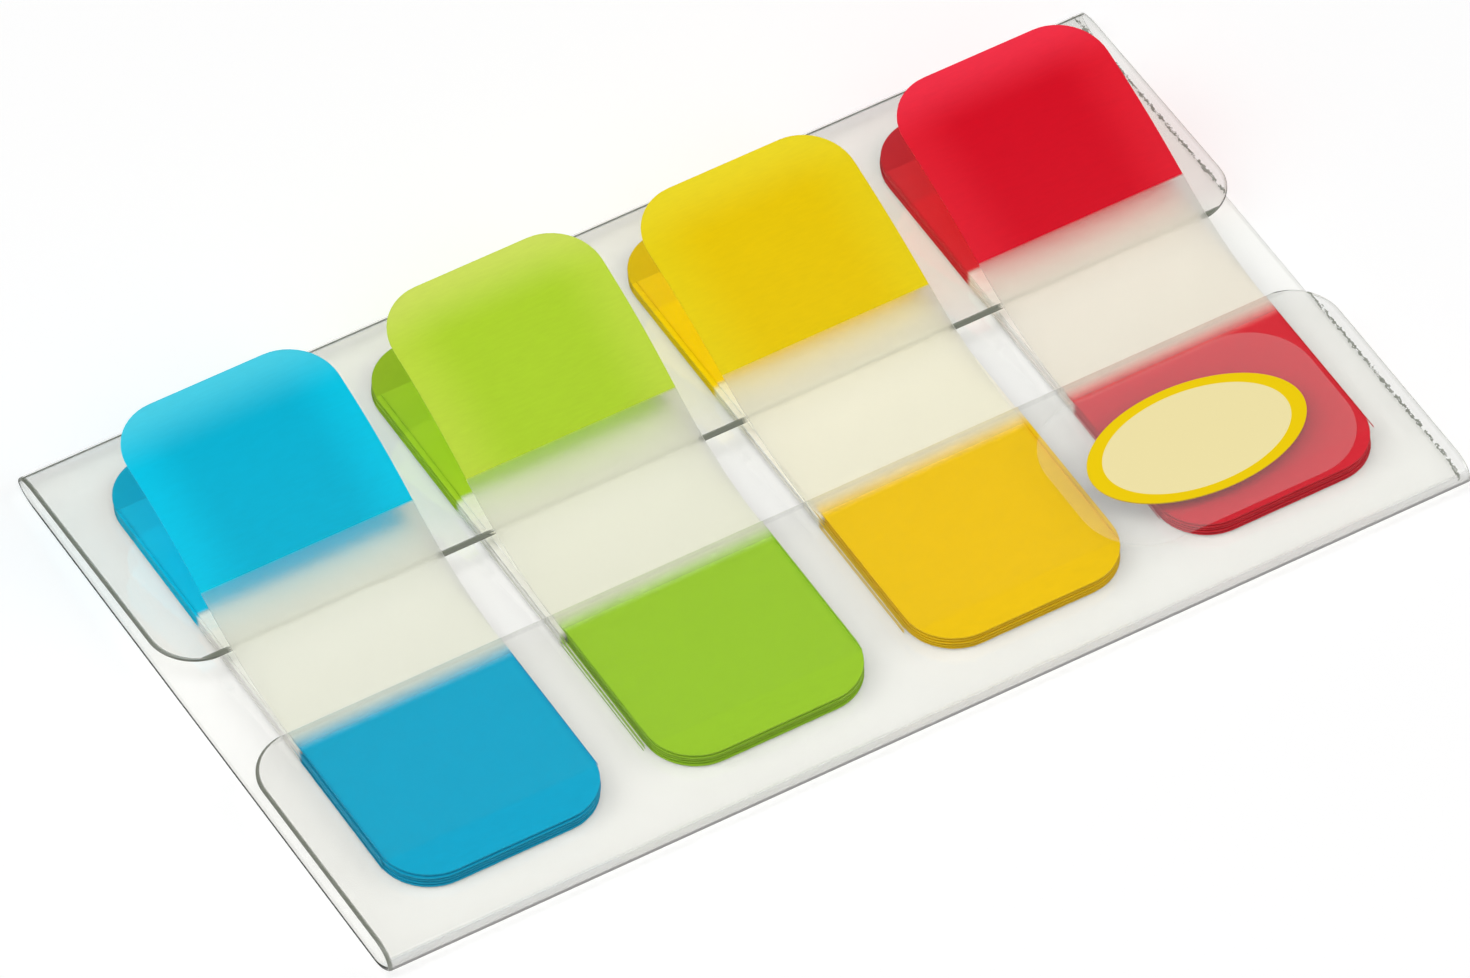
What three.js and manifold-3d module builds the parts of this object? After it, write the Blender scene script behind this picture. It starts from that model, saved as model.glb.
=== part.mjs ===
// Sticky index tabs in a folded sleeve of clear film.
//
// Millimetres, +Z up. X runs along the sleeve from its left end to its right,
// Y from the near fold to the far fold, and the origin lies under the middle
// of the sleeve's flat back. One sheet of film is creased along both long
// sides, so that it has a back and two flaps with a slot between them. Four
// stacks of tabs lie inside. The tabs of a stack point by turns to the near
// and to the far fold, and the top one stands up over the far flap.

import * as THREE from 'three';
import { mergeVertices, toCreasedNormals } from 'three/addons/utils/BufferGeometryUtils.js';
import loadManifold from 'manifold-3d';

// One tab: a strip of film with square corners at its adhesive end and round
// ones at its coloured end
const tabLength = 38.1;
const tabWidth = 15.88;
const tabThickness = 0.125;
const tabCornerRadius = 3.7;
const colouredLength = 13.8;

// The stacks: how many tabs lie flat in each, how far the ones that point to
// the far fold are set off from the others, and the spaces round them
const flatTabCount = 9;
const tabStagger = 3.2;
const stackGap = 3.72;
const leftMargin = 4.16;
const rightMargin = 3.16;
const nearTipGap = 2.85;
const farTipGap = 0.35;

// The sleeve's film, the room above a stack at the slot and at its far tips,
// the creases, and how far in from a crease the film lies flat
const filmThickness = 0.25;
const headroom = 0.55;
const farHeadroom = 0.2;
const nearCreaseHeight = 0.95;
const farCreaseHeight = 0.8;
const nearFoldDepth = 1.8;
const farFoldDepth = 2.4;

// The slot between the flaps, and how far it lies off the sleeve's middle
// towards the near fold
const slotWidth = 8;
const slotOffset = 0.65;
const flapCornerRadius = 3.5;

// The clear label on the near flap: its size, and its distance from the
// sleeve's right end and from the slot
const labelLength = 20.4;
const labelWidth = 13.6;
const labelThickness = 0.08;
const labelCornerRadius = 4.6;
const labelFromRight = 4;
const labelFromSlot = 1.7;

// Steps in a fold's curve, a corner's arc and a raised tab's bend
const foldSteps = 8;
const cornerSteps = 7;
const bendSteps = 10;

// Each stack: its colour, and how far the tabs that point to the near fold,
// those that point to the far one and the raised tab have slipped along the
// sleeve. The raised tab passes over the far flap's edge with a clearance,
// shows some of its clear part past the slot, and has a slope at its tip, in
// degrees.
const stacks = [
  {
    name: 'blue',
    colour: 0x00a9dc,
    nearSlip: 0,
    farSlip: -0.1,
    raisedSlip: 0,
    raisedClearance: 0.28,
    clearPastSlot: 4.2,
    tipSlope: 5,
  },
  {
    name: 'green',
    colour: 0xa3d02f,
    nearSlip: 0.27,
    farSlip: -0.15,
    raisedSlip: 0.15,
    raisedClearance: 0.4,
    clearPastSlot: 3.9,
    tipSlope: 9,
  },
  {
    name: 'yellow',
    colour: 0xeccb00,
    nearSlip: 0.25,
    farSlip: -0.1,
    raisedSlip: -0.1,
    raisedClearance: 0.16,
    clearPastSlot: 3.5,
    tipSlope: 10,
  },
  {
    name: 'red',
    colour: 0xcf1430,
    nearSlip: 0,
    farSlip: -0.1,
    raisedSlip: -0.1,
    raisedClearance: 0.28,
    clearPastSlot: 3.3,
    tipSlope: 9,
  },
];

// What follows from the sizes above
const stackPitch = tabWidth + stackGap;
const sleeveLength = leftMargin + stacks.length * stackPitch - stackGap + rightMargin;
const nearMargin = nearFoldDepth + nearTipGap;
const farMargin = farFoldDepth + farTipGap;
const sleeveWidth = nearMargin + tabLength + tabStagger + farMargin;
const stackTop = filmThickness + flatTabCount * tabThickness;
const mouthHeight = stackTop + tabThickness + headroom + filmThickness;
const farShoulderHeight = stackTop + farHeadroom + filmThickness;
const nearCreaseY = -sleeveWidth / 2;
const farCreaseY = sleeveWidth / 2;
const nearFlapEdgeY = -slotOffset - slotWidth / 2;
const farFlapEdgeY = -slotOffset + slotWidth / 2;
const clearLength = tabLength - colouredLength;

/** Points of the film's middle surface in section, as (y, z) pairs. */
function sleeveCentreline() {
  const half = filmThickness / 2;
  const path = new THREE.Path();
  path.moveTo(nearFlapEdgeY, mouthHeight - half);
  path.lineTo(nearCreaseY + nearFoldDepth, mouthHeight - half);
  path.quadraticCurveTo(nearCreaseY, mouthHeight - half, nearCreaseY, nearCreaseHeight);
  path.quadraticCurveTo(nearCreaseY + nearFoldDepth / 2, half, nearCreaseY + nearFoldDepth, half);
  path.lineTo(farCreaseY - farFoldDepth, half);
  path.quadraticCurveTo(farCreaseY - farFoldDepth / 4, half, farCreaseY, farCreaseHeight);
  path.quadraticCurveTo(
    farCreaseY, farShoulderHeight - half,
    farCreaseY - farFoldDepth, farShoulderHeight - half);
  path.lineTo(farFlapEdgeY, mouthHeight - half);
  return path.getPoints(foldSteps);
}

/** A line moved sideways by a distance, with mitred corners. */
function offsetLine(points, distance) {
  const directions = points.slice(1).map((point, i) => point.clone().sub(points[i]).normalize());
  return points.map((point, i) => {
    const arriving = directions[Math.max(i - 1, 0)];
    const leaving = directions[Math.min(i, directions.length - 1)];
    const along = arriving.clone().add(leaving).normalize();
    const sideways = new THREE.Vector2(-along.y, along.x);
    return point.clone().addScaledVector(sideways, distance / along.dot(arriving));
  });
}

/** A shape drawn in the YZ plane, extruded along X. */
function extrudeAlongX(shape, length) {
  const geometry = new THREE.ExtrudeGeometry(shape, { depth: length, bevelEnabled: false });
  const yAxis = new THREE.Vector3(0, 1, 0);
  const zAxis = new THREE.Vector3(0, 0, 1);
  const xAxis = new THREE.Vector3(1, 0, 0);
  geometry.applyMatrix4(new THREE.Matrix4().makeBasis(yAxis, zAxis, xAxis));
  return geometry.translate(-length / 2, 0, 0);
}

/** A prism that takes one free corner off a flap and leaves it round. */
function cornerCutter(cornerX, cornerY, inwardX, inwardY) {
  const r = flapCornerRadius;
  const spare = 1;
  const shape = new THREE.Shape();
  shape.moveTo(-spare, -spare);
  shape.lineTo(r, -spare);
  shape.lineTo(r, 0);
  shape.absarc(r, r, r, -Math.PI / 2, -Math.PI, true);
  shape.lineTo(-spare, r);
  const bottom = mouthHeight / 2;
  const geometry = new THREE.ExtrudeGeometry(shape, {
    depth: mouthHeight + spare - bottom,
    bevelEnabled: false,
    curveSegments: cornerSteps,
  });
  geometry.scale(inwardX, inwardY, 1);
  if (inwardX * inwardY < 0) turnInsideOut(geometry);
  return geometry.translate(cornerX, cornerY, bottom);
}

/** Swaps two corners of every triangle, after a mirroring. */
function turnInsideOut(geometry) {
  const position = geometry.getAttribute('position');
  const first = new THREE.Vector3();
  const second = new THREE.Vector3();
  for (let i = 0; i < position.count; i += 3) {
    first.fromBufferAttribute(position, i);
    second.fromBufferAttribute(position, i + 1);
    position.setXYZ(i, second.x, second.y, second.z);
    position.setXYZ(i + 1, first.x, first.y, first.z);
  }
}

const wasm = await loadManifold();
wasm.setup();

/** A closed geometry as a solid that can be cut. */
function toSolid(geometry) {
  const bare = geometry.clone();
  bare.deleteAttribute('normal');
  bare.deleteAttribute('uv');
  const merged = mergeVertices(bare);
  return new wasm.Manifold(new wasm.Mesh({
    numProp: 3,
    vertProperties: new Float32Array(merged.getAttribute('position').array),
    triVerts: new Uint32Array(merged.index.array),
  }));
}

/** A solid's surface as a geometry. */
function toGeometry(solid) {
  const mesh = solid.getMesh();
  const geometry = new THREE.BufferGeometry();
  geometry.setAttribute('position', new THREE.BufferAttribute(mesh.vertProperties, 3));
  geometry.setIndex(new THREE.BufferAttribute(mesh.triVerts, 1));
  return toCreasedNormals(geometry, THREE.MathUtils.degToRad(30));
}

/** The folded sheet of film, its flaps' four free corners rounded off. */
function sleeveGeometry() {
  const centreline = sleeveCentreline();
  const outer = offsetLine(centreline, filmThickness / 2);
  const inner = offsetLine(centreline, -filmThickness / 2);
  const section = new THREE.Shape([...outer, ...inner.reverse()]);
  let solid = toSolid(extrudeAlongX(section, sleeveLength));
  for (const side of [-1, 1]) {
    const endX = side * sleeveLength / 2;
    solid = solid.subtract(toSolid(cornerCutter(endX, nearFlapEdgeY, -side, -1)));
    solid = solid.subtract(toSolid(cornerCutter(endX, farFlapEdgeY, -side, 1)));
  }
  return toGeometry(solid);
}

/** Half a tab's width at a distance along it from the adhesive end. */
function tabHalfWidth(along) {
  const intoCorner = Math.max(along - (tabLength - tabCornerRadius), 0);
  const arc = Math.sqrt(Math.max(tabCornerRadius ** 2 - intoCorner ** 2, 0));
  return tabWidth / 2 - tabCornerRadius + arc;
}

/** Distances along a tab at which its bend, its colour or its outline changes. */
function tabStations(bendStart, steps) {
  const cornerStart = tabLength - tabCornerRadius;
  const stations = [0];
  for (let i = 0; i < steps; i += 1) {
    stations.push(THREE.MathUtils.lerp(bendStart, clearLength, i / steps));
  }
  stations.push(clearLength);
  for (let i = 1; i < steps; i += 1) {
    stations.push(THREE.MathUtils.lerp(clearLength, cornerStart, i / steps));
  }
  for (let i = 0; i <= cornerSteps; i += 1) {
    stations.push(cornerStart + tabCornerRadius * Math.sin(Math.PI / 2 * i / cornerSteps));
  }
  return stations;
}

/**
 * A tab as a closed strip. Each row across it has a distance along the tab, a
 * place of its middle (y, z) and a slope. The rows from the coloured part's
 * start on take the second material.
 */
function tabGeometry(rows) {
  const positions = [];
  for (const { along, y, z, slope } of rows) {
    const half = tabHalfWidth(along);
    const lift = tabThickness / 2;
    for (const side of [1, -1]) {
      for (const x of [-half, half]) {
        positions.push(x, y - side * lift * Math.sin(slope), z + side * lift * Math.cos(slope));
      }
    }
  }
  const index = [];
  const quad = (a, b, c, d) => index.push(a, b, c, a, c, d);
  quad(0, 2, 3, 1);
  let colourIndex = 0;
  for (let i = 0; i < rows.length - 1; i += 1) {
    if (rows[i].along <= clearLength) colourIndex = index.length;
    const near = 4 * i;
    const far = near + 4;
    quad(near, near + 1, far + 1, far);
    quad(near + 2, far + 2, far + 3, near + 3);
    quad(near, far, far + 2, near + 2);
    quad(near + 1, near + 3, far + 3, far + 1);
  }
  const last = 4 * (rows.length - 1);
  quad(last, last + 1, last + 3, last + 2);
  const geometry = new THREE.BufferGeometry();
  geometry.setAttribute('position', new THREE.Float32BufferAttribute(positions, 3));
  geometry.setIndex(index);
  geometry.addGroup(0, colourIndex, 0);
  geometry.addGroup(colourIndex, index.length - colourIndex, 1);
  return toCreasedNormals(geometry, THREE.MathUtils.degToRad(30));
}

/** Rows of a tab that lies flat, its middle at the origin. */
function flatTabRows() {
  return tabStations(0, 0).map((along) => ({ along, y: along - tabLength / 2, z: 0, slope: 0 }));
}

/**
 * Rows of a raised tab, measured from the slot's near side, where its flat part
 * ends. It bends up in an arc over the far flap's edge as far as its coloured
 * part, and eases off again towards the tip.
 */
function raisedTabRows({ raisedClearance, clearPastSlot, tipSlope }) {
  const rise = mouthHeight + raisedClearance - stackTop;
  const bendRadius = (slotWidth ** 2 + rise ** 2) / (2 * rise);
  const bendStart = clearLength - slotWidth - clearPastSlot;
  const steepest = (clearLength - bendStart) / bendRadius;
  const eased = THREE.MathUtils.degToRad(tipSlope);
  const slopeAt = (along) => {
    if (along <= bendStart) return 0;
    if (along <= clearLength) return (along - bendStart) / bendRadius;
    return THREE.MathUtils.lerp(steepest, eased, (along - clearLength) / colouredLength);
  };
  const rows = [{ along: 0, y: -bendStart, z: 0, slope: 0 }];
  for (const along of tabStations(bendStart, bendSteps).slice(1)) {
    const from = rows[rows.length - 1];
    const step = along - from.along;
    const middle = slopeAt(from.along + step / 2);
    rows.push({
      along,
      y: from.y + step * Math.cos(middle),
      z: from.z + step * Math.sin(middle),
      slope: slopeAt(along),
    });
  }
  return rows;
}

/** The die-cut label, a rounded rectangle standing on the XY plane. */
function labelGeometry() {
  const halfLength = labelLength / 2;
  const halfWidth = labelWidth / 2;
  const r = labelCornerRadius;
  const shape = new THREE.Shape();
  shape.moveTo(-halfLength, -halfWidth + r);
  shape.absarc(-halfLength + r, -halfWidth + r, r, Math.PI, Math.PI * 1.5, false);
  shape.absarc(halfLength - r, -halfWidth + r, r, -Math.PI / 2, 0, false);
  shape.absarc(halfLength - r, halfWidth - r, r, 0, Math.PI / 2, false);
  shape.absarc(-halfLength + r, halfWidth - r, r, Math.PI / 2, Math.PI, false);
  return new THREE.ExtrudeGeometry(shape, {
    depth: labelThickness,
    bevelEnabled: false,
    curveSegments: cornerSteps,
  });
}

/** A see-through film's material. */
function filmMaterial(colour, opacity, roughness) {
  return new THREE.MeshStandardMaterial({
    color: colour,
    roughness,
    metalness: 0,
    transparent: true,
    opacity,
    side: THREE.DoubleSide,
  });
}

/** One mesh with its node's name. */
function namedMesh(name, geometry, material) {
  const mesh = new THREE.Mesh(geometry, material);
  mesh.name = name;
  return mesh;
}

/** The tabs of one colour: the flat ones by turns, then the raised one. */
function tabStack(stack, index) {
  const group = new THREE.Group();
  group.position.x = -sleeveLength / 2 + leftMargin + tabWidth / 2 + index * stackPitch;
  const materials = [
    filmMaterial(0xebebde, 0.8, 0.6),
    new THREE.MeshStandardMaterial({ color: stack.colour, roughness: 0.5, metalness: 0 }),
  ];
  const nearTabMiddle = nearCreaseY + nearMargin + tabLength / 2;
  for (let i = 0; i < flatTabCount; i += 1) {
    const number = String(i + 1).padStart(2, '0');
    const tab = namedMesh(`${stack.name}_tab_${number}`, tabGeometry(flatTabRows()), materials);
    if (i % 2 === 0) {
      tab.rotation.z = Math.PI;
      tab.position.set(stack.nearSlip, nearTabMiddle, 0);
    } else {
      tab.position.set(stack.farSlip, nearTabMiddle + tabStagger, 0);
    }
    tab.position.z = filmThickness + (i + 0.5) * tabThickness;
    group.add(tab);
  }
  const raised = namedMesh(`${stack.name}_tab_raised`, tabGeometry(raisedTabRows(stack)), materials);
  raised.position.set(stack.raisedSlip, nearFlapEdgeY, stackTop + tabThickness / 2);
  group.add(raised);
  return group;
}

const label = namedMesh('label', labelGeometry(), filmMaterial(0xf3ead2, 0.6, 0.3));
label.position.set(
  sleeveLength / 2 - labelFromRight - labelLength / 2,
  nearFlapEdgeY - labelFromSlot - labelWidth / 2,
  mouthHeight);

const model = new THREE.Group();
model.add(namedMesh('sleeve', sleeveGeometry(), filmMaterial(0xe6e6e1, 0.35, 0.2)));
model.add(label);
stacks.forEach((stack, index) => model.add(tabStack(stack, index)));

export default model;
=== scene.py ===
import math
import random

import bpy
from mathutils import Matrix, Vector


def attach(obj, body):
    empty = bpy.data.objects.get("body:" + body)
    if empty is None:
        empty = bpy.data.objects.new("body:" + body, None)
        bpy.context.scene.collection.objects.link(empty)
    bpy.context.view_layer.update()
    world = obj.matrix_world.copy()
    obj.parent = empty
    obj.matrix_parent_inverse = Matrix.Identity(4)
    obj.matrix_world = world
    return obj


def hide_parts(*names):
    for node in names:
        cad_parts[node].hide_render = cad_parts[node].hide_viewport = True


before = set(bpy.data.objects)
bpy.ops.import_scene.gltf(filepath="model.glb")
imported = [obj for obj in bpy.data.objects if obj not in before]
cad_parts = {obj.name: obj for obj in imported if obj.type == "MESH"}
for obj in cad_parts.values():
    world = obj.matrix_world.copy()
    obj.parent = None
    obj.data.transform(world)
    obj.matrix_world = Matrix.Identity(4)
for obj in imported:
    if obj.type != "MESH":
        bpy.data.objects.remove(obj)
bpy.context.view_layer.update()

# Sizes are in millimetres, as in the part's source, and become metres in the
# meshes and materials.
MM = 0.001

# The tabs
TAB_LENGTH = 38.1
TAB_WIDTH = 15.88
TAB_PITCH = 0.125
TAB_THICKNESS = 0.117
TAB_CORNER = 3.7
COLOURED_LENGTH = 13.8
CLEAR_LENGTH = TAB_LENGTH - COLOURED_LENGTH
FLAT_TABS = 9
STAGGER = 3.2
SLIP = 0.05
SHIFT = 0.07

# The sleeve
SLEEVE_LENGTH = 82
SLEEVE_WIDTH = 48.7
FILM = 0.25
NEAR_CREASE_HEIGHT = 0.95
FAR_CREASE_HEIGHT = 0.8
NEAR_FOLD = 1.8
FAR_FOLD = 2.4
FLAP_CORNER = 3.5
SLOT_WIDTH = 8
NEAR_FLAP_EDGE = -4.65
FAR_FLAP_EDGE = NEAR_FLAP_EDGE + SLOT_WIDTH
STACK_TOP = FILM + FLAT_TABS * TAB_PITCH
MOUTH = 2.3
FAR_SHOULDER = 1.825

# Where the flat tabs' tips and the start of their coloured parts lie
NEAR_TIP = -19.7
FAR_TIP = NEAR_TIP + TAB_LENGTH + STAGGER
NEAR_COLOUR = NEAR_TIP + COLOURED_LENGTH
FAR_COLOUR = FAR_TIP - COLOURED_LENGTH

# Where the flat tabs change along y between clear and coloured, and where the
# clear film of the near, far and raised tabs changes between stuck to another
# tab's colour and not
# Near tabs: their colour fades to white over 2 mm, a painted glow of scattered light
NEAR_GLOW_FADE = (NEAR_COLOUR - 0.1, NEAR_COLOUR + 1.9)
FAR_FADE = (FAR_COLOUR - 0.5, FAR_COLOUR + 0.1)
NEAR_STUCK = (FAR_COLOUR - 0.4, FAR_COLOUR + 0.2)
FAR_STUCK = (NEAR_COLOUR - 0.2, NEAR_COLOUR + 0.4)
RAISED_STUCK = (NEAR_COLOUR - 0.2, NEAR_COLOUR + 1.4)

# The label
LABEL_LENGTH = 20.4
LABEL_WIDTH = 13.6
LABEL_THICKNESS = 0.08
LABEL_GAP = 0.01
LABEL_CORNER = 4.6
LABEL_MIDDLE = (26.8, -13.15)
OVAL_RADII = (8.0, 4.7)
OVAL_RIM_START = 0.86

# Each stack's place and how far its near, far and raised tabs slipped along x,
# its raised tab's clearance over the far flap's edge, how far that tab's clear
# part reaches past the slot, and its slope in degrees at the tip. The raised
# tab's print gets a painted highlight: lighter at its sides and lighter still at
# its tip. The near and far prints are copies of the print with painted shade,
# toned for the light on the flat tabs under the sleeve. White is how the clear
# parts of many tabs on each other look, and their cut sides are painted whiter
# still, painted light where shade falls on them.
STACKS = {
    "blue": dict(
        x=-28.9, near=0, far=-0.1, raised=0, clearance=0.28, past=4.2, tip=5,
        print=(0.0, 0.61, 0.78), side_painted_light=(0.0, 0.71, 0.88), tip_painted_light=(0.12, 0.78, 0.89),
        near_print_shaded=(0.0, 0.42, 0.68), far_print_shaded=(0.0, 0.53, 0.76),
        white=(0.795, 0.80, 0.74),
    ),
    "green": dict(
        x=-9.3, near=0.27, far=-0.15, raised=0.15, clearance=0.4, past=3.9, tip=9,
        print=(0.59, 0.78, 0.048), side_painted_light=(0.68, 0.82, 0.09), tip_painted_light=(0.77, 0.85, 0.19),
        near_print_shaded=(0.355, 0.63, 0.028), far_print_shaded=(0.42, 0.63, 0.024),
        white=(0.80, 0.80, 0.71),
    ),
    "yellow": dict(
        x=10.3, near=0.25, far=-0.1, raised=-0.1, clearance=0.16, past=3.5, tip=10,
        print=(0.88, 0.72, 0.0), side_painted_light=(0.89, 0.77, 0.01), tip_painted_light=(0.91, 0.82, 0.035),
        near_print_shaded=(0.94, 0.61, 0.0), far_print_shaded=(0.93, 0.67, 0.0),
        white=(0.86, 0.83, 0.71),
    ),
    "red": dict(
        x=29.9, near=0, far=-0.1, raised=-0.1, clearance=0.28, past=3.3, tip=9,
        print=(0.79, 0.004, 0.026), side_painted_light=(0.86, 0.02, 0.048), tip_painted_light=(0.95, 0.055, 0.11),
        near_print_shaded=(0.76, 0.02, 0.038), far_print_shaded=(0.68, 0.03, 0.045),
        white=(0.84, 0.79, 0.73),
    ),
}
WHITE_SIDE_PAINTED_LIGHT = (0.97, 0.96, 0.92)
PRINT_ROUGHNESS = 0.45
PRINT_SPECULAR = 0.2

# The raised tab's coloured part: how far its painted highlight at the sides and
# tip reaches in, the share of the light that comes through it, and what it does
# to the lamps' light
RAISED_PAINTED_HIGHLIGHT = 4.5
THROUGH_SHARE = 0.4
TINT_COLOUR = 0.4
TINT_WHITE = 0.53

# The sleeve's film gets thinner over EDGE_REACH, down to a share of its
# thickness, and its cut edge gets painted shade over a width of its own.
EDGE_STATIONS = (0.0, 0.03, 0.08, 0.15, 0.22, 0.3, 0.37, 0.42)
EDGE_REACH = 0.28
EDGE_THINNEST = 0.35
EDGE_DARK_WIDTH = 0.22
SLOT_EDGE_DARK_WIDTH = 0.4

# How dark the shade painted on the cut edge of the far flap along the slot is,
# and on the other edges. The left edge's painted shade gets darker over a height.
SLOT_EDGE_DARK = 0.9
EDGE_DARK = 0.05
LEFT_EDGE_DARK = 0.7
LEFT_EDGE_FROM = 0.5
LEFT_EDGE_HEIGHT = 0.9

# Behind a raised tab, only a share of that painted shade is left, and the film
# is seen through as far in from its end as this.
BEHIND_DARK_SHARE = 0.2
SEEN_THROUGH_ABOVE = 0.1
SEEN_THROUGH_BELOW = 0.8

# The names under which both are kept for each point of the sleeve
EDGE_SHADE_ATTRIBUTE = "painted_edge_shade"
FAINT_ATTRIBUTE = "faint_edge"

# The broken line painted along the flaps' right ends, a painted shadow: how far
# in it lies, how far it wanders either way, and from which height up it shows
END_LINE_INSET = 0.9
END_LINE_WANDER = 0.3
END_LINE_HALF_WIDTH = 0.07
END_LINE_DARK = 0.75
END_LINE_FROM = 1.4

# The lines painted along the far fold, painted crease shade, as (y, half the
# width, how dark)
FOLD_LINES = ((24.29, 0.055, 0.65), (23.94, 0.06, 0.9))
FOLD_LINES_FROM = 1.05

# The rounding of the other strips' edges. Angles are in degrees.
BEVEL = 0.02
BEVEL_ANGLE = 60
SHARP_ANGLE = 35

# The stage
FLOOR_REACH = 3.0
FLOOR_DROP = 0.03
FLOOR_GLOW = 0.28
AMBIENT = 0.06
LAMPS = (
    ("left", (-1.1, 0.3, 1.0), 1.2, 10.2),
    ("right", (1.1, -0.5, 0.9), 1.2, 7.6),
    ("front", (-0.1, -1.2, 1.0), 1.2, 5.1),
    ("top", (-0.3, -0.2, 1.5), 1.0, 7.6),
)


# The camera, which was fitted to the photo

camera_data = bpy.data.cameras.new("camera")
camera_data.sensor_width = 36
camera_data.lens = 391.84
camera_data.clip_start = 0.01
camera_data.clip_end = 20
camera = bpy.data.objects.new("camera", camera_data)
forward = Vector((0.33893, 0.56926, -0.74905))
right = Vector((0.85924, -0.51158, 0))
up = Vector((0.38320, 0.64361, 0.66252))
camera.matrix_world = Matrix.Translation((-0.35698, -0.59840, 0.78784)) @ Matrix(
    (right, up, -forward)
).transposed().to_4x4()
bpy.context.scene.collection.objects.link(camera)
bpy.context.scene.camera = camera


class Shader:
    """The node tree of a material or the world, with short ways to add to it."""

    def __init__(self, owner, output="ShaderNodeOutputMaterial"):
        self.owner = owner
        owner.use_nodes = True
        self.tree = owner.node_tree
        self.tree.nodes.clear()
        self.output = self.tree.nodes.new(output)

    def add(self, kind, inputs=None, **settings):
        node = self.tree.nodes.new(kind)
        for key, value in settings.items():
            setattr(node, key, value)
        for key, value in (inputs or {}).items():
            self.set(node, key, value)
        return node

    def set(self, node, key, value):
        if isinstance(value, bpy.types.NodeSocket):
            self.tree.links.new(value, node.inputs[key])
        elif isinstance(value, tuple) and len(value) == 3 and node.inputs[key].type == "RGBA":
            node.inputs[key].default_value = (*value, 1)
        else:
            node.inputs[key].default_value = value

    def finish(self, surface):
        self.tree.links.new(surface, self.output.inputs["Surface"])
        return self.owner

    def place(self):
        """Object coordinates, which are the row frame's, in metres."""
        return self.add("ShaderNodeTexCoord").outputs["Object"]

    def axis(self, name):
        split = self.add("ShaderNodeSeparateXYZ", {"Vector": self.place()})
        return split.outputs[name]

    def ramp(self, value, low, high, start=0.0, end=1.0):
        """start to end as value goes from low to high, in millimetres, smoothly."""
        return self.add(
            "ShaderNodeMapRange",
            {
                "Value": value,
                "From Min": low * MM,
                "From Max": high * MM,
                "To Min": start,
                "To Max": end,
            },
            interpolation_type="SMOOTHSTEP",
        ).outputs["Result"]

    def math(self, operation, a, b=0.0, c=0.0):
        node = self.add("ShaderNodeMath", operation=operation)
        for i, value in enumerate((a, b, c)):
            self.set(node, i, value)
        return node.outputs[0]

    def times(self, a, b):
        return self.math("MULTIPLY", a, b)

    def greatest(self, a, b):
        return self.math("MAXIMUM", a, b)

    def distance(self, value, middle):
        """How far value is from middle, either way."""
        return self.math("ABSOLUTE", self.math("SUBTRACT", value, middle))

    def mix(self, factor, a, b):
        """A mix of two shaders."""
        node = self.add("ShaderNodeMixShader", {0: factor, 1: a, 2: b})
        return node.outputs[0]

    def blend(self, factor, a, b):
        """A mix of two colours."""
        node = self.add("ShaderNodeMix", data_type="RGBA")
        self.set(node, "Factor", factor)
        for key, value in (("A", a), ("B", b)):
            socket = next(s for s in node.inputs if s.name == key and s.type == "RGBA")
            if isinstance(value, tuple):
                socket.default_value = (*value, 1)
            else:
                self.tree.links.new(value, socket)
        return next(s for s in node.outputs if s.type == "RGBA")

    def noise(self, scale_mm, detail=2.0, roughness=0.5, stretch=(1, 1, 1)):
        """Noise whose features are about scale_mm across."""
        mapping = self.add("ShaderNodeMapping", {"Vector": self.place()})
        mapping.inputs["Scale"].default_value = Vector(stretch)
        node = self.add(
            "ShaderNodeTexNoise",
            {
                "Vector": mapping.outputs[0],
                "Scale": 1 / (scale_mm * MM),
                "Detail": detail,
                "Roughness": roughness,
            },
        )
        return node.outputs["Fac"]

    def bump(self, height, distance_mm):
        node = self.add("ShaderNodeBump", {"Height": height, "Distance": distance_mm * MM})
        return node.outputs["Normal"]

    def principled(self, **inputs):
        names = {
            key.replace("_", " ").title().replace("Ior", "IOR"): value
            for key, value in inputs.items()
        }
        return self.add("ShaderNodeBsdfPrincipled", names).outputs[0]

    def transparent(self, colour):
        return self.add("ShaderNodeBsdfTransparent", {"Color": colour}).outputs[0]

    def diffuse(self, colour):
        return self.add("ShaderNodeBsdfDiffuse", {"Color": colour}).outputs[0]

    def seen(self):
        """1 for rays that show the floor to the camera, also by the film, else 0."""
        path = self.add("ShaderNodeLightPath")
        seen = self.greatest(path.outputs["Is Camera Ray"], path.outputs["Is Transmission Ray"])
        seen = self.greatest(seen, path.outputs["Is Glossy Ray"])
        direct = self.math("LESS_THAN", path.outputs["Diffuse Depth"], 0.5)
        return self.times(seen, direct)

    def passes_lamps(self, surface, tint):
        """The surface as rays see it, but clear with a tint to the lamps."""
        path = self.add("ShaderNodeLightPath")
        return self.mix(path.outputs["Is Shadow Ray"], surface, self.transparent(tint))

    def side_faces(self):
        """1 on a strip's two long cut sides, 0 elsewhere."""
        geometry = self.add("ShaderNodeNewGeometry")
        normal = self.add("ShaderNodeSeparateXYZ", {"Vector": geometry.outputs["True Normal"]})
        return self.math("GREATER_THAN", self.math("ABSOLUTE", normal.outputs["X"]), 0.3)


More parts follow.
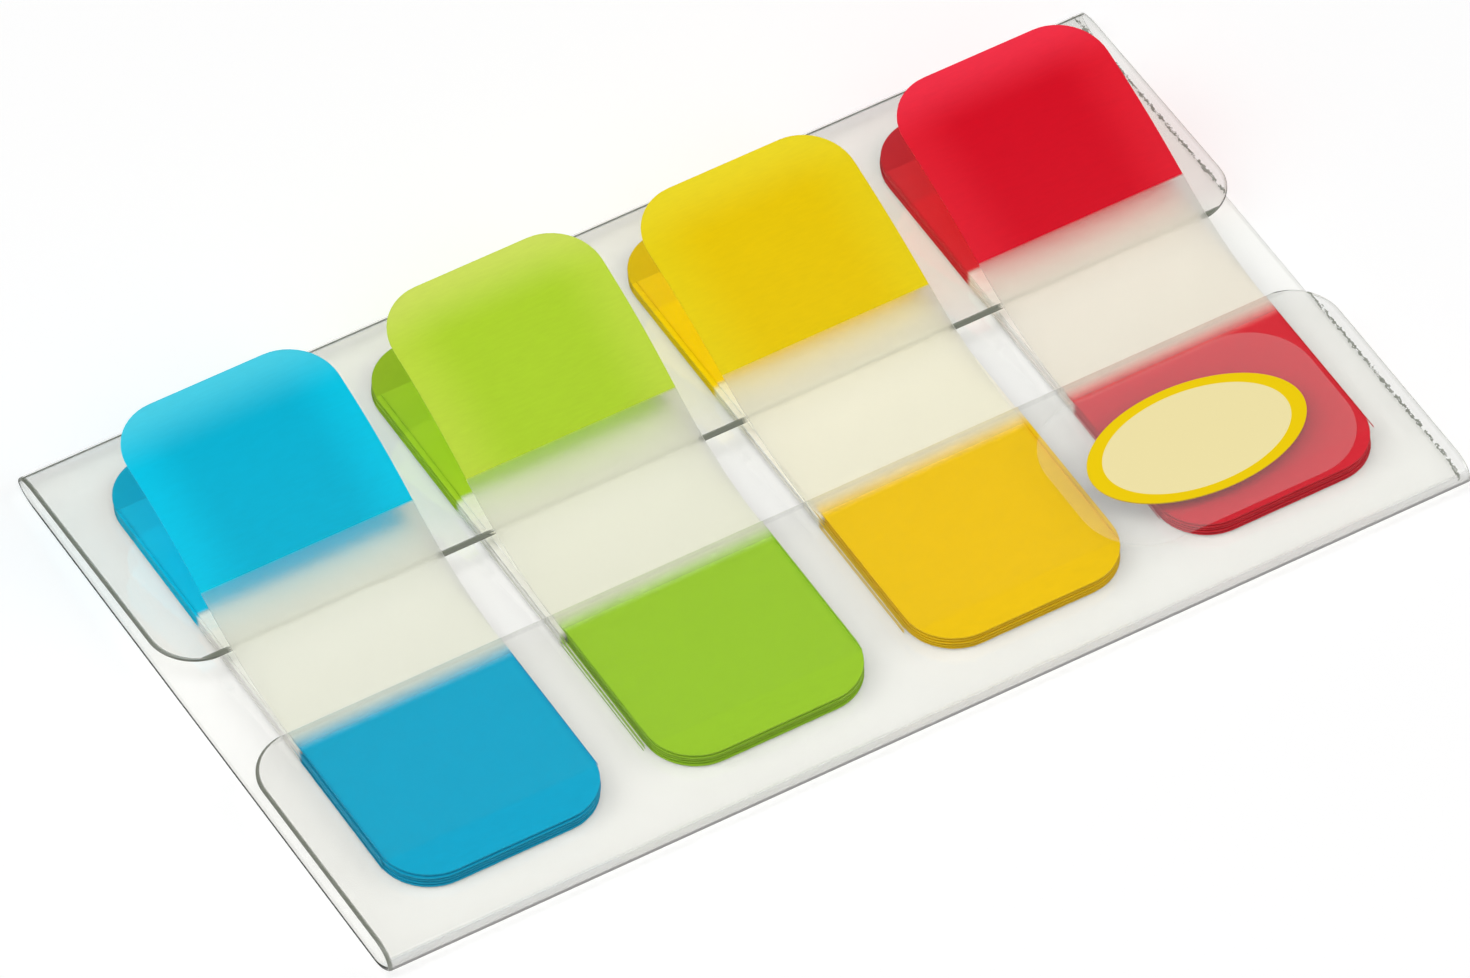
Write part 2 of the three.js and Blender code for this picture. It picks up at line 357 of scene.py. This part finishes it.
def painted_shade_lines(s):
    """How dark the painted shade lines are: a painted shadow along the right end
    and painted crease shade along the far fold.
    """
    x, y, z = (s.axis(name) for name in "XYZ")
    innermost = SLEEVE_LENGTH / 2 - END_LINE_INSET - END_LINE_WANDER
    wandering = s.math(
        "MULTIPLY_ADD", s.noise(0.35), 2 * END_LINE_WANDER * MM, innermost * MM
    )
    on_line = s.math("LESS_THAN", s.distance(x, wandering), END_LINE_HALF_WIDTH * MM)
    on_flap = s.math("GREATER_THAN", z, END_LINE_FROM * MM)
    # The ramp takes lengths, so the noise, which breaks the line up, becomes one.
    whole = s.ramp(s.times(s.noise(0.5), MM), 0.38, 0.52)
    dark = s.times(s.times(s.times(on_line, on_flap), whole), END_LINE_DARK)
    on_shoulder = s.math("GREATER_THAN", z, FOLD_LINES_FROM * MM)
    for middle, half, shade in FOLD_LINES:
        on_line = s.math("LESS_THAN", s.distance(y, middle * MM), half * MM)
        dark = s.greatest(dark, s.times(s.times(on_line, on_shoulder), shade))
    return dark


def sleeve_film():
    """Clear film with a faint ripple, painted shade along its cut edges, right
    end and far fold, and painted light along the near crease.
    """
    s = Shader(bpy.data.materials.new("sleeve_film"))
    y = s.axis("Y")
    # The ripple ends before the folds, where it would break up their outline.
    fold = SLEEVE_WIDTH / 2
    rippled = s.ramp(s.math("ABSOLUTE", y), fold - 4, fold - 1.5, 1.0, 0.0)
    film = s.principled(
        base_color=(0.94, 0.94, 0.925),
        roughness=0.02,
        ior=1.5,
        transmission_weight=1.0,
        normal=s.bump(s.times(s.noise(0.9), rippled), 0.004),
    )
    film = s.passes_lamps(film, (0.955, 0.955, 0.945))
    # Painted light: a lighter grey band painted along the near crease.
    crease_painted_light = s.principled(base_color=(0.74, 0.73, 0.71), roughness=0.4)
    film = s.mix(s.ramp(y, -fold, -fold + 0.25, 0.5, 0.0), film, crease_painted_light)
    # Painted shade: dark olive on the cut edges, the right end's line and the far fold.
    cut = s.principled(base_color=(0.20, 0.215, 0.17), roughness=0.3)
    edge = s.add("ShaderNodeAttribute", attribute_name=EDGE_SHADE_ATTRIBUTE).outputs["Fac"]
    film = s.mix(s.greatest(edge, painted_shade_lines(s)), film, cut)
    faint = s.add("ShaderNodeAttribute", attribute_name=FAINT_ATTRIBUTE).outputs["Fac"]
    return s.finish(s.mix(faint, film, s.transparent((0.96, 0.96, 0.95))))


def frosted(s):
    """Matte film, lifted off what it shows: it blurs what is behind it."""
    film = s.principled(
        base_color=(0.97, 0.97, 0.94),
        roughness=0.5,
        ior=1.45,
        transmission_weight=1.0,
    )
    return s.passes_lamps(film, (0.95, 0.95, 0.92))


def white_film(s, stack):
    # Painted light: the cut sides are painted whiter than the faces.
    return s.blend(s.side_faces(), stack["white"], WHITE_SIDE_PAINTED_LIGHT)


def ink(s, colour):
    """Matte film with a slightly streaky print. colour is a colour or a socket."""
    streaks = s.noise(0.8, detail=3, roughness=0.65, stretch=(0.7, 4, 1))
    density = s.math("MULTIPLY_ADD", streaks, 0.16, 0.92)
    colour = s.add("ShaderNodeHueSaturation", {"Color": colour, "Value": density})
    return s.principled(
        base_color=colour.outputs[0],
        roughness=PRINT_ROUGHNESS,
        specular_ior_level=PRINT_SPECULAR,
        normal=s.bump(s.noise(0.12), 0.002),
    )


def clear(s, side_colour):
    """Film stuck flat to what is under it, whose colour also lights up its cut sides."""
    face = s.mix(0.003, s.transparent((0.995, 0.995, 0.99)), s.diffuse((0.9, 0.9, 0.86)))
    side = s.principled(
        base_color=side_colour,
        roughness=PRINT_ROUGHNESS,
        specular_ior_level=PRINT_SPECULAR,
    )
    return s.mix(s.side_faces(), face, side)


def near_tab(name, stack):
    """A tab that points to the near fold. Its colour fades to white over 2 mm, a
    painted glow of the colour scattered sideways through the film.
    """
    s = Shader(bpy.data.materials.new(f"{name}_near_tab"))
    y = s.axis("Y")
    painted_glow_fade = s.ramp(y, *NEAR_GLOW_FADE)
    matte = ink(s, s.blend(painted_glow_fade, stack["near_print_shaded"], white_film(s, stack)))
    stuck = s.ramp(y, *NEAR_STUCK)
    return s.finish(s.mix(stuck, matte, clear(s, stack["far_print_shaded"])))


def far_tab(name, stack):
    """A tab that points to the far fold."""
    s = Shader(bpy.data.materials.new(f"{name}_far_tab"))
    y = s.axis("Y")
    # Past the ends of the near tabs the colour is uncovered and painted a little
    # darker, painted shade standing in for the lighter veil of the clear films over the rest.
    near_end = NEAR_TIP + TAB_LENGTH
    bare = s.ramp(y, near_end - 0.02, near_end + 0.02)
    uncovered_painted_shade = tuple(0.8 * c for c in stack["far_print_shaded"])
    colour = s.blend(bare, stack["far_print_shaded"], uncovered_painted_shade)
    inked = s.ramp(y, *FAR_FADE)
    matte = ink(s, s.blend(inked, white_film(s, stack), colour))
    free = s.ramp(y, *FAR_STUCK)
    return s.finish(s.mix(free, clear(s, stack["near_print_shaded"]), matte))


def raised_tab(name, stack, colour_y, tip_y):
    """The tab on top, stuck at its near end and lifted past the slot.

    Light shines through its coloured part, and a painted highlight lightens it
    towards its sides and more towards its tip.
    """
    s = Shader(bpy.data.materials.new(f"{name}_raised_tab"))
    y = s.axis("Y")
    off_middle = s.distance(s.axis("X"), (stack["x"] + stack["raised"]) * MM)
    # Painted highlight: lighter print towards the sides, lighter still at the tip.
    side = s.ramp(off_middle, TAB_WIDTH / 2 - RAISED_PAINTED_HIGHLIGHT, TAB_WIDTH / 2)
    tip = s.ramp(y, tip_y - RAISED_PAINTED_HIGHLIGHT, tip_y)
    colour = s.blend(side, stack["print"], stack["side_painted_light"])
    colour = s.blend(tip, colour, stack["tip_painted_light"])
    through = s.add("ShaderNodeBsdfTranslucent", {"Color": colour}).outputs[0]
    tint = tuple(TINT_COLOUR * c + TINT_WHITE for c in stack["print"])
    film = s.passes_lamps(s.mix(THROUGH_SHARE, ink(s, colour), through), tint)
    free = s.ramp(y, *RAISED_STUCK)
    plain = s.mix(free, clear(s, stack["near_print_shaded"]), frosted(s))
    inked = s.ramp(y, colour_y - 0.03, colour_y + 0.03)
    return s.finish(s.mix(inked, plain, film))


def label_film():
    """Clear label film with a plain printed oval."""
    s = Shader(bpy.data.materials.new("label_film"))
    squares = []
    for name, middle, radius in zip("XY", LABEL_MIDDLE, OVAL_RADII):
        share = s.times(s.math("SUBTRACT", s.axis(name), middle * MM), 1 / (radius * MM))
        squares.append(s.times(share, share))
    out = s.math("SQRT", s.math("ADD", *squares))
    rim = s.math("GREATER_THAN", out, OVAL_RIM_START)
    cream, yellow = (1.0, 0.88, 0.45), (0.99, 0.70, 0.0)
    oval = s.principled(base_color=s.blend(rim, cream, yellow), roughness=0.35)
    plain = s.mix(0.06, s.transparent((1, 1, 1)), s.diffuse((0.9, 0.9, 0.9)))
    return s.finish(s.mix(s.math("LESS_THAN", out, 1.0), plain, oval))


def floor_material():
    """Pale floor that keeps the shadow and shows white where nothing shades it."""
    s = Shader(bpy.data.materials.new("floor"))
    glow = s.add(
        "ShaderNodeEmission",
        {"Color": (1, 1, 1), "Strength": s.times(s.seen(), FLOOR_GLOW)},
    )
    both = s.add("ShaderNodeAddShader", {0: s.diffuse((0.8, 0.8, 0.8)), 1: glow.outputs[0]})
    return s.finish(both.outputs[0])


def edge_share(distance):
    """The share of its thickness that the sleeve has at a distance from its cut edge."""
    if distance >= EDGE_REACH:
        return 1.0
    rise = math.sqrt(1 - (1 - distance / EDGE_REACH) ** 2)
    return EDGE_THINNEST + (1 - EDGE_THINNEST) * rise


def behind_raised_tab(x, y):
    """Whether a point is on the far half of the sleeve, where a raised tab runs over it."""
    return y > 0 and any(
        abs(x - stack["x"] - stack["raised"]) < TAB_WIDTH / 2 for stack in STACKS.values()
    )


def edge_painted_shade(from_left, from_right, from_end, y, z):
    """How dark the shade painted at a point near a cut edge is: most of all on
    the left and far flap's edges.
    """
    if from_left <= EDGE_DARK_WIDTH:
        height = min(max((z - LEFT_EDGE_FROM) / LEFT_EDGE_HEIGHT, 0.0), 1.0)
        return EDGE_DARK + LEFT_EDGE_DARK * height
    if from_end <= SLOT_EDGE_DARK_WIDTH:
        return SLOT_EDGE_DARK if y > 0 else EDGE_DARK
    if from_right <= EDGE_DARK_WIDTH:
        return EDGE_DARK
    return 0.0


def strip(name, rows, thickness, material, columns, bevel=BEVEL, cut_edges=False):
    """A strip of film along rows of (y, z, slope, left, right, inset) in millimetres.

    The rows give its middle surface and how far they lie in from the strip's
    end. With cut_edges, the film gets thinner towards its edges, and the shade
    painted on them is kept with its points.
    """
    stations = EDGE_STATIONS if cut_edges else (0.0,)
    vertices = []
    dark = []
    faint = []
    for y, z, slope, left, right_x, inset in rows:
        width = right_x - left
        offsets = list(stations[:-1])
        offsets += [
            stations[-1] + (width - 2 * stations[-1]) * j / columns
            for j in range(columns + 1)
        ]
        offsets += [width - d for d in reversed(stations[:-1])]
        for side in (1, -1):
            for offset in offsets:
                lift = side * thickness / 2
                if cut_edges:
                    lift *= edge_share(min(offset, width - offset, inset))
                vertices.append((
                    (left + offset) * MM,
                    (y - lift * math.sin(slope)) * MM,
                    (z + lift * math.cos(slope)) * MM,
                ))
                if not cut_edges:
                    continue
                shade = edge_painted_shade(offset, width - offset, inset, y, z)
                behind = behind_raised_tab(left + offset, y)
                dark.append(BEHIND_DARK_SHARE * shade if behind else shade)
                # On the flaps the rows run towards -y, so side -1 is on top.
                # Rays that come in at the edge leave the lower side further in.
                reach = SEEN_THROUGH_ABOVE if side < 0 else SEEN_THROUGH_BELOW
                faint.append(1.0 if behind and inset <= reach else 0.0)
    columns += 2 * (len(stations) - 1)
    across = columns + 1

    def top(i, j):
        return 2 * across * i + j

    def bottom(i, j):
        return top(i, j) + across

    faces = []
    last = len(rows) - 1
    for i in range(last):
        for j in range(columns):
            faces.append((top(i, j), top(i, j + 1), top(i + 1, j + 1), top(i + 1, j)))
            faces.append((
                bottom(i, j), bottom(i + 1, j), bottom(i + 1, j + 1), bottom(i, j + 1),
            ))
        faces.append((top(i, 0), top(i + 1, 0), bottom(i + 1, 0), bottom(i, 0)))
        faces.append((
            top(i, columns), bottom(i, columns), bottom(i + 1, columns), top(i + 1, columns),
        ))
    for j in range(columns):
        faces.append((top(0, j), bottom(0, j), bottom(0, j + 1), top(0, j + 1)))
        faces.append((top(last, j), top(last, j + 1), bottom(last, j + 1), bottom(last, j)))
    mesh = bpy.data.meshes.new(name)
    mesh.from_pydata(vertices, [], faces)
    mesh.materials.append(material)
    if cut_edges:
        for attribute, values in ((EDGE_SHADE_ATTRIBUTE, dark), (FAINT_ATTRIBUTE, faint)):
            kept = mesh.attributes.new(attribute, "FLOAT", "POINT")
            kept.data.foreach_set("value", values)
    mesh.shade_smooth()
    mesh.set_sharp_from_angle(angle=math.radians(SHARP_ANGLE))
    piece = bpy.data.objects.new(name, mesh)
    bpy.context.scene.collection.objects.link(piece)
    if bevel:
        rounding = piece.modifiers.new("edge", "BEVEL")
        rounding.width = bevel * MM
        rounding.segments = 2
        rounding.angle_limit = math.radians(BEVEL_ANGLE)
    return piece


def corner_inset(distance, radius):
    """How far a rounded corner takes the side in, at a distance from the end."""
    if distance >= radius:
        return 0.0
    return radius - math.sqrt(max(radius**2 - (radius - distance) ** 2, 0.0))


def corner_stations(radius, steps=12):
    """Distances from the end that follow a rounded corner evenly."""
    return [radius * (1 - math.cos(math.pi / 2 * i / steps)) for i in range(steps + 1)]


def flap_stations():
    """Distances from a flap's edge that follow its corner and its thinner edge."""
    curve = corner_stations(FLAP_CORNER, 20)
    further = tuple(d for d in curve if d > EDGE_STATIONS[-1] + 0.02)
    return sorted(EDGE_STATIONS + further)


def tab_stations(bend_start, steps):
    """Distances along a tab from its clear end."""
    stations = [0.0]
    stations += [bend_start + (CLEAR_LENGTH - bend_start) * i / steps for i in range(steps)]
    corner_start = TAB_LENGTH - TAB_CORNER
    stations += [CLEAR_LENGTH + (corner_start - CLEAR_LENGTH) * i / steps for i in range(steps)]
    stations += [TAB_LENGTH - d for d in reversed(corner_stations(TAB_CORNER))]
    return [s for i, s in enumerate(stations) if i == 0 or s > stations[i - 1] + 1e-6]


def tab_half(along):
    """Half a tab's width at a distance from its clear end."""
    return TAB_WIDTH / 2 - corner_inset(TAB_LENGTH - along, TAB_CORNER)


def flat_tab(name, x, tip, direction, height, material):
    """A flat tab whose tip is at y = tip and points along direction."""
    rows = []
    for along in tab_stations(0.0, 1):
        half = tab_half(along)
        y = tip - direction * (TAB_LENGTH - along)
        rows.append((y, height, 0.0, x - half, x + half, 0.0))
    if direction < 0:
        rows.reverse()
    return strip(name, rows, TAB_THICKNESS, material, columns=4)


def raised_path(stack):
    """(along, y, z, slope) along a raised tab."""
    rise = MOUTH + stack["clearance"] - STACK_TOP
    bend_radius = (SLOT_WIDTH**2 + rise**2) / (2 * rise)
    bend_start = CLEAR_LENGTH - SLOT_WIDTH - stack["past"]
    steepest = (CLEAR_LENGTH - bend_start) / bend_radius
    eased = math.radians(stack["tip"])

    def slope_at(along):
        if along <= bend_start:
            return 0.0
        if along <= CLEAR_LENGTH:
            return (along - bend_start) / bend_radius
        return steepest + (eased - steepest) * (along - CLEAR_LENGTH) / COLOURED_LENGTH

    path = [(0.0, NEAR_FLAP_EDGE - bend_start, STACK_TOP + TAB_PITCH / 2, 0.0)]
    for along in tab_stations(bend_start, 24)[1:]:
        before, y, z, _ = path[-1]
        step = along - before
        middle = slope_at(before + step / 2)
        y += step * math.cos(middle)
        z += step * math.sin(middle)
        path.append((along, y, z, slope_at(along)))
    return path


def sleeve_path():
    """(y, z) of the film's middle surface in section, from the near flap round."""
    half = FILM / 2
    near, far = -SLEEVE_WIDTH / 2, SLEEVE_WIDTH / 2
    top = MOUTH - half
    shoulder = FAR_SHOULDER - half
    points = [(NEAR_FLAP_EDGE - d, top) for d in flap_stations()]
    points.append((near + NEAR_FOLD, top))

    def curve_to(b, c, steps=20):
        """Add a curve from the last point to c, pulled towards b."""
        a = points[-1]
        for i in range(1, steps + 1):
            t = i / steps
            points.append(tuple(
                a[k] * (1 - t) ** 2 + 2 * b[k] * t * (1 - t) + c[k] * t**2 for k in (0, 1)
            ))

    curve_to((near, top), (near, NEAR_CREASE_HEIGHT))
    curve_to((near + NEAR_FOLD / 2, half), (near + NEAR_FOLD, half))
    points.append((far - FAR_FOLD, half))
    curve_to((far - FAR_FOLD / 4, half), (far, FAR_CREASE_HEIGHT))
    curve_to((far, shoulder), (far - FAR_FOLD, shoulder))
    drop = (top - shoulder) / (far - FAR_FOLD - FAR_FLAP_EDGE)
    for d in reversed(flap_stations()):
        points.append((FAR_FLAP_EDGE + d, top - d * drop))
    return points


def sleeve_rows():
    points = sleeve_path()
    lengths = [0.0]
    for a, b in zip(points, points[1:]):
        lengths.append(lengths[-1] + math.dist(a, b))
    rows = []
    for i, (y, z) in enumerate(points):
        before = points[max(i - 1, 0)]
        after = points[min(i + 1, len(points) - 1)]
        slope = math.atan2(after[1] - before[1], after[0] - before[0])
        from_end = min(lengths[i], lengths[-1] - lengths[i])
        half = SLEEVE_LENGTH / 2 - corner_inset(from_end, FLAP_CORNER)
        rows.append((y, z, slope, -half, half, from_end))
    return rows


def label_rows():
    middle_x, middle_y = LABEL_MIDDLE
    corner = corner_stations(LABEL_CORNER)
    height = MOUTH + LABEL_GAP + LABEL_THICKNESS / 2
    rows = []
    for d in corner + [LABEL_WIDTH - d for d in reversed(corner)]:
        half = LABEL_LENGTH / 2 - corner_inset(min(d, LABEL_WIDTH - d), LABEL_CORNER)
        y = middle_y - LABEL_WIDTH / 2 + d
        rows.append((y, height, 0.0, middle_x - half, middle_x + half, 0.0))
    return rows


def ride(piece, node):
    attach(piece, "root")
    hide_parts(node)


sleeve = strip(
    "sleeve_sheet", sleeve_rows(), FILM, sleeve_film(), columns=160, bevel=0, cut_edges=True
)
ride(sleeve, "sleeve")

random.seed(4)
for name, stack in STACKS.items():
    materials = [near_tab(name, stack), far_tab(name, stack)]
    for i in range(FLAT_TABS):
        height = FILM + (i + 0.5) * TAB_PITCH
        slip = random.uniform(-SLIP, SLIP)
        shift = random.uniform(-SHIFT, SHIFT)
        if i % 2 == 0:
            x, tip, direction = stack["near"], NEAR_TIP, -1
        else:
            x, tip, direction = stack["far"], FAR_TIP, 1
        piece = flat_tab(
            f"{name}_flag_{i + 1:02d}",
            stack["x"] + x + slip,
            tip + shift,
            direction,
            height,
            materials[i % 2],
        )
        ride(piece, f"{name}_tab_{i + 1:02d}")
    path = raised_path(stack)
    x = stack["x"] + stack["raised"]
    rows = [
        (y, z, slope, x - tab_half(along), x + tab_half(along), 0.0)
        for along, y, z, slope in path
    ]
    colour_y = next(y for along, y, z, slope in path if along >= CLEAR_LENGTH - 1e-6)
    tip_y = path[-1][1]
    material = raised_tab(name, stack, colour_y, tip_y)
    piece = strip(f"{name}_flag_raised", rows, TAB_THICKNESS, material, columns=10)
    ride(piece, f"{name}_tab_raised")

label = strip("label_patch", label_rows(), LABEL_THICKNESS, label_film(), columns=12)
ride(label, "label")


# The floor, the world and the lamps

floor_mesh = bpy.data.meshes.new("floor")
floor_mesh.from_pydata(
    [(x * FLOOR_REACH, y * FLOOR_REACH, 0) for x, y in ((-1, -1), (1, -1), (1, 1), (-1, 1))],
    [],
    [(0, 1, 2, 3)],
)
floor_mesh.materials.append(floor_material())
floor = bpy.data.objects.new("floor", floor_mesh)
floor.location.z = -FLOOR_DROP * MM
bpy.context.scene.collection.objects.link(floor)

world = bpy.data.worlds.new("world")
sky = Shader(world, "ShaderNodeOutputWorld")
camera_ray = sky.add("ShaderNodeLightPath").outputs["Is Camera Ray"]
strength = sky.math("MULTIPLY_ADD", camera_ray, 1 - AMBIENT, AMBIENT)
background = sky.add("ShaderNodeBackground", {"Color": (1, 1, 1), "Strength": strength})
sky.finish(background.outputs[0])
bpy.context.scene.world = world
bpy.context.scene.cycles.transparent_max_bounces = 24


def lamp(name, place, size, power):
    data = bpy.data.lights.new(name, "AREA")
    data.shape = "DISK"
    data.size = size
    data.energy = power
    light = bpy.data.objects.new(name, data)
    light.location = place
    light.rotation_euler = (-Vector(place)).to_track_quat("-Z", "Y").to_euler()
    # The film lets the lamps' light through to what lies under it, so a ray
    # bent by the film must not find them again.
    light.visible_transmission = False
    bpy.context.scene.collection.objects.link(light)


for name, place, size, power in LAMPS:
    lamp(name, place, size, power)

bpy.context.scene.view_settings.view_transform = "Standard"
